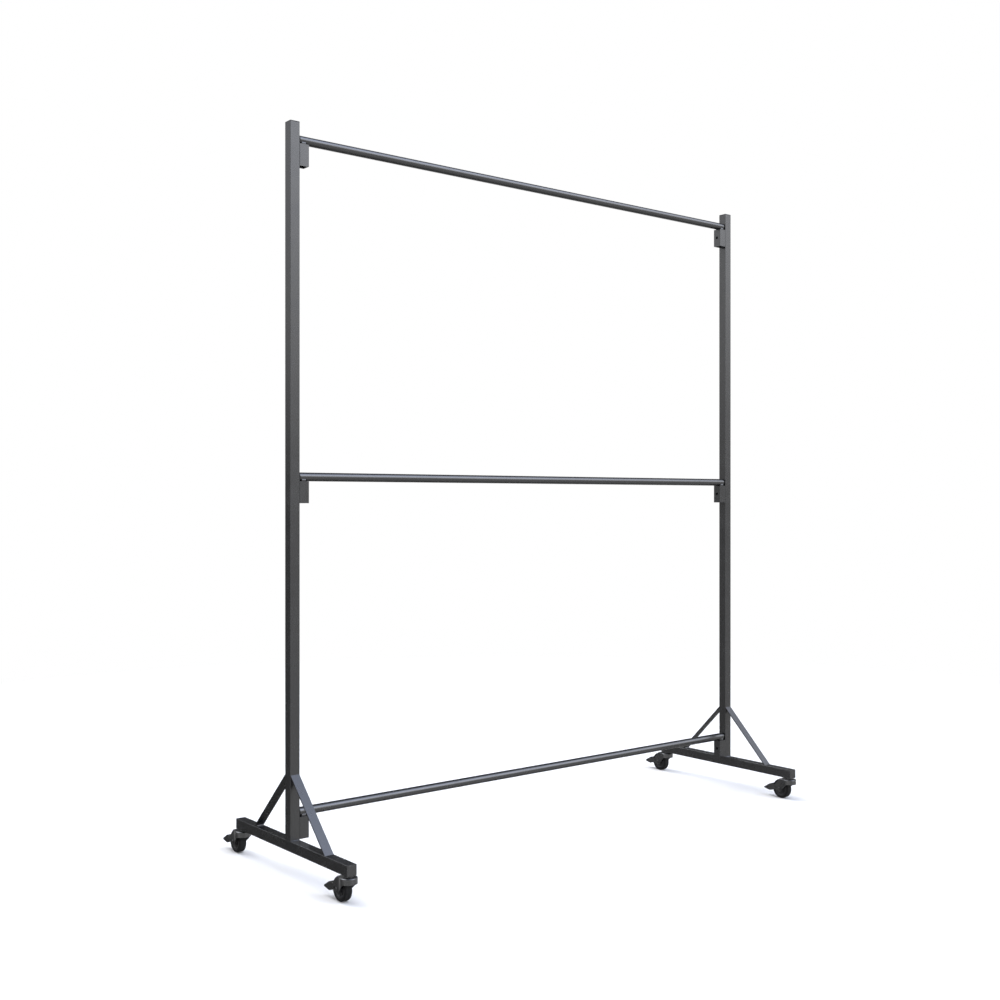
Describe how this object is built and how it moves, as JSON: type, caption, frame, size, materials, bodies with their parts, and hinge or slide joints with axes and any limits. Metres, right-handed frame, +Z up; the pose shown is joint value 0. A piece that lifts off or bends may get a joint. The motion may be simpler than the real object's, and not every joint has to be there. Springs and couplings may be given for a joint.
{
  "type": "rolling background support frame",
  "caption": "Wheeled rectangular frame of square-tube uprights on braced feet, joined by round crossbars that hold a backdrop; swivel casters with foot brakes.",
  "frame": {"origin": "on the floor, midway between the two uprights and in their centre plane", "axes": "+Z up; +X from the left upright to the right upright; +Y to the rear, the way the stored casters trail"},
  "size_m": [1.878, 0.7185, 2.126],
  "materials": {
    "frame_paint": "satin",
    "plug_plastic": "satin",
    "zinc_steel": "satin",
    "black_steel": "satin",
    "caster_paint": "satin",
    "hub_nylon": "satin",
    "tyre_rubber": "matte"
  },
  "bodies": {
    "frame": {"left_upright": "frame_paint", "right_upright": "frame_paint", "left_base_beam": "frame_paint", "right_base_beam": "frame_paint", "base_end_plates": "frame_paint", "left_front_brace": "frame_paint", "left_rear_brace": "frame_paint", "right_front_brace": "frame_paint", "right_rear_brace": "frame_paint", "top_bar": "frame_paint", "middle_bar": "frame_paint", "bottom_bar": "frame_paint", "top_left_bracket": "frame_paint", "top_right_bracket": "frame_paint", "middle_left_bracket": "frame_paint", "middle_right_bracket": "frame_paint", "bottom_left_bracket": "frame_paint", "bottom_right_bracket": "frame_paint", "bracket_weld_beads": "frame_paint", "brace_weld_beads": "frame_paint", "upright_weld_beads": "frame_paint", "upright_top_caps": "plug_plastic", "bar_end_plugs": "plug_plastic", "bracket_bolts": "black_steel", "upright_rivet_nuts": "zinc_steel", "caster_thread_sockets": "zinc_steel", "front_left_stem": "black_steel", "rear_left_stem": "black_steel", "front_right_stem": "black_steel", "rear_right_stem": "black_steel"},
    "front_left_swivel": {"front_left_fork": "caster_paint", "front_left_bearing_balls": "zinc_steel", "front_left_axle": "black_steel", "front_left_pedal_rivets": "black_steel"},
    "front_left_wheel": {"front_left_wheel_hub": "hub_nylon", "front_left_tyre": "tyre_rubber"},
    "front_left_brake": {"front_left_brake_pedal": "caster_paint"},
    "rear_left_swivel": {"rear_left_fork": "caster_paint", "rear_left_bearing_balls": "zinc_steel", "rear_left_axle": "black_steel", "rear_left_pedal_rivets": "black_steel"},
    "rear_left_wheel": {"rear_left_wheel_hub": "hub_nylon", "rear_left_tyre": "tyre_rubber"},
    "rear_left_brake": {"rear_left_brake_pedal": "caster_paint"},
    "front_right_swivel": {"front_right_fork": "caster_paint", "front_right_bearing_balls": "zinc_steel", "front_right_axle": "black_steel", "front_right_pedal_rivets": "black_steel"},
    "front_right_wheel": {"front_right_wheel_hub": "hub_nylon", "front_right_tyre": "tyre_rubber"},
    "front_right_brake": {"front_right_brake_pedal": "caster_paint"},
    "rear_right_swivel": {"rear_right_fork": "caster_paint", "rear_right_bearing_balls": "zinc_steel", "rear_right_axle": "black_steel", "rear_right_pedal_rivets": "black_steel"},
    "rear_right_wheel": {"rear_right_wheel_hub": "hub_nylon", "rear_right_tyre": "tyre_rubber"},
    "rear_right_brake": {"rear_right_brake_pedal": "caster_paint"}
  },
  "joints": [
    {"name": "front_left_swivel_turn", "type": "hinge", "parent": "frame", "child": "front_left_swivel", "pos_m": [-0.915, -0.297, 0.07], "axis": [0, 0, 1], "continuous": true},
    {"name": "front_left_wheel_spin", "type": "hinge", "parent": "front_left_swivel", "child": "front_left_wheel", "pos_m": [-0.915, -0.266, 0.0335], "axis": [1, 0, 0], "continuous": true},
    {"name": "front_left_brake_press", "type": "hinge", "parent": "front_left_swivel", "child": "front_left_brake", "pos_m": [-0.915, -0.251, 0.038], "axis": [-1, 0, 0], "range_deg": [0, 14]},
    {"name": "rear_left_swivel_turn", "type": "hinge", "parent": "frame", "child": "rear_left_swivel", "pos_m": [-0.915, 0.297, 0.07], "axis": [0, 0, 1], "continuous": true},
    {"name": "rear_left_wheel_spin", "type": "hinge", "parent": "rear_left_swivel", "child": "rear_left_wheel", "pos_m": [-0.915, 0.328, 0.0335], "axis": [1, 0, 0], "continuous": true},
    {"name": "rear_left_brake_press", "type": "hinge", "parent": "rear_left_swivel", "child": "rear_left_brake", "pos_m": [-0.915, 0.343, 0.038], "axis": [-1, 0, 0], "range_deg": [0, 14]},
    {"name": "front_right_swivel_turn", "type": "hinge", "parent": "frame", "child": "front_right_swivel", "pos_m": [0.915, -0.297, 0.07], "axis": [0, 0, 1], "continuous": true},
    {"name": "front_right_wheel_spin", "type": "hinge", "parent": "front_right_swivel", "child": "front_right_wheel", "pos_m": [0.915, -0.266, 0.0335], "axis": [1, 0, 0], "continuous": true},
    {"name": "front_right_brake_press", "type": "hinge", "parent": "front_right_swivel", "child": "front_right_brake", "pos_m": [0.915, -0.251, 0.038], "axis": [-1, 0, 0], "range_deg": [0, 14]},
    {"name": "rear_right_swivel_turn", "type": "hinge", "parent": "frame", "child": "rear_right_swivel", "pos_m": [0.915, 0.297, 0.07], "axis": [0, 0, 1], "continuous": true},
    {"name": "rear_right_wheel_spin", "type": "hinge", "parent": "rear_right_swivel", "child": "rear_right_wheel", "pos_m": [0.915, 0.328, 0.0335], "axis": [1, 0, 0], "continuous": true},
    {"name": "rear_right_brake_press", "type": "hinge", "parent": "rear_right_swivel", "child": "rear_right_brake", "pos_m": [0.915, 0.343, 0.038], "axis": [-1, 0, 0], "range_deg": [0, 14]}
  ]
}
